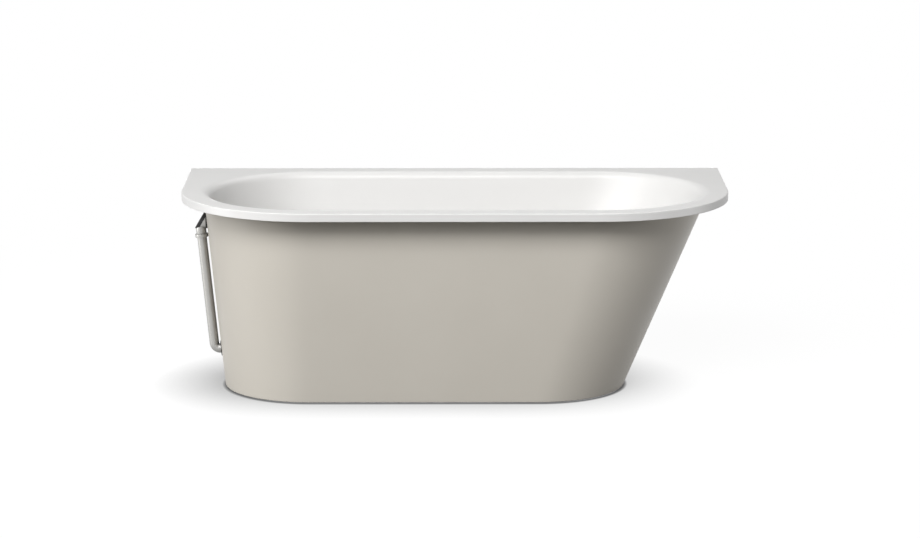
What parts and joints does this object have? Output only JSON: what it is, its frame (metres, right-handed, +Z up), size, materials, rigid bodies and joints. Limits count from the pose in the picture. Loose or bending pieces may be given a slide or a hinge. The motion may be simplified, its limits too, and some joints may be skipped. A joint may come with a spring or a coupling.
{
  "type": "bathtub",
  "caption": "Back-to-wall bathtub with an oval well, a flat D-shaped rim, a tapered skirt on levelling feet, a press plug, a bottle trap and an exposed overflow pipe.",
  "frame": {"origin": "on the floor under the middle of the rim", "axes": "+X along the bath towards the head end, +Y towards the wall, +Z up"},
  "size_m": [1.6, 0.75, 0.58],
  "materials": {
    "acrylic_white": "gloss white sanitary acrylic",
    "skirt_grey": "satin warm grey",
    "chipboard": "raw chipboard",
    "plywood": "raw plywood",
    "zinc_steel": "zinc plated",
    "black_plastic": "black moulded",
    "white_plastic": "white moulded",
    "rubber": "black rubber",
    "chrome": "satin chrome"
  },
  "bodies": {
    "tub": {"arm_1": "zinc_steel", "arm_2": "zinc_steel", "arm_3": "zinc_steel", "arm_4": "zinc_steel", "basin": "acrylic_white", "block_screws": "zinc_steel", "board_screws": "zinc_steel", "bracket_screws": "zinc_steel", "floor_board": "chipboard", "foot_nuts_lower": "zinc_steel", "foot_nuts_upper": "zinc_steel", "overflow_cap": "black_plastic", "overflow_collar": "chrome", "overflow_ferrule": "rubber", "overflow_gasket": "rubber", "overflow_housing": "chrome", "overflow_pipe": "chrome", "overflow_rosette": "chrome", "overflow_screw": "chrome", "overflow_spacer": "rubber", "rail_front": "zinc_steel", "rail_rear": "zinc_steel", "rim_batten_front": "plywood", "rim_batten_rear": "plywood", "skirt": "skirt_grey", "skirt_block_1": "plywood", "skirt_block_2": "plywood", "skirt_block_3": "plywood", "skirt_block_4": "plywood", "skirt_grommet": "rubber", "tee_nut": "black_plastic", "tee_seal": "rubber", "tie_drain": "zinc_steel", "tie_head": "zinc_steel", "wall_bracket_1": "zinc_steel", "wall_bracket_2": "zinc_steel", "waste_body": "white_plastic", "waste_flange": "chrome", "waste_gasket_bottom": "rubber", "waste_gasket_top": "rubber"},
    "foot_1": {"foot_pad_1": "black_plastic", "foot_stud_1": "zinc_steel"},
    "foot_2": {"foot_pad_2": "black_plastic", "foot_stud_2": "zinc_steel"},
    "foot_3": {"foot_pad_3": "black_plastic", "foot_stud_3": "zinc_steel"},
    "foot_4": {"foot_pad_4": "black_plastic", "foot_stud_4": "zinc_steel"},
    "plug": {"plug_cap": "chrome", "plug_seal": "rubber", "plug_stem": "chrome"},
    "trap": {"trap_head": "white_plastic", "trap_cup": "white_plastic", "trap_ring": "black_plastic", "trap_nut": "black_plastic", "trap_seal": "rubber"}
  },
  "joints": [
    {"name": "foot_1_level", "type": "slide", "parent": "tub", "child": "foot_1", "axis": [0, 0, -1], "range_m": [-0.005, 0.03]},
    {"name": "foot_2_level", "type": "slide", "parent": "tub", "child": "foot_2", "axis": [0, 0, -1], "range_m": [-0.005, 0.03]},
    {"name": "foot_3_level", "type": "slide", "parent": "tub", "child": "foot_3", "axis": [0, 0, -1], "range_m": [-0.005, 0.03]},
    {"name": "foot_4_level", "type": "slide", "parent": "tub", "child": "foot_4", "axis": [0, 0, -1], "range_m": [-0.005, 0.03]},
    {"name": "plug_press", "type": "slide", "parent": "tub", "child": "plug", "axis": [0, 0, -1], "range_m": [0, 0.009]},
    {"name": "trap_turn", "type": "hinge", "parent": "tub", "child": "trap", "pos_m": [-0.38, 0, 0.072], "axis": [0, 0, 1], "range_deg": [-90, 90]}
  ]
}
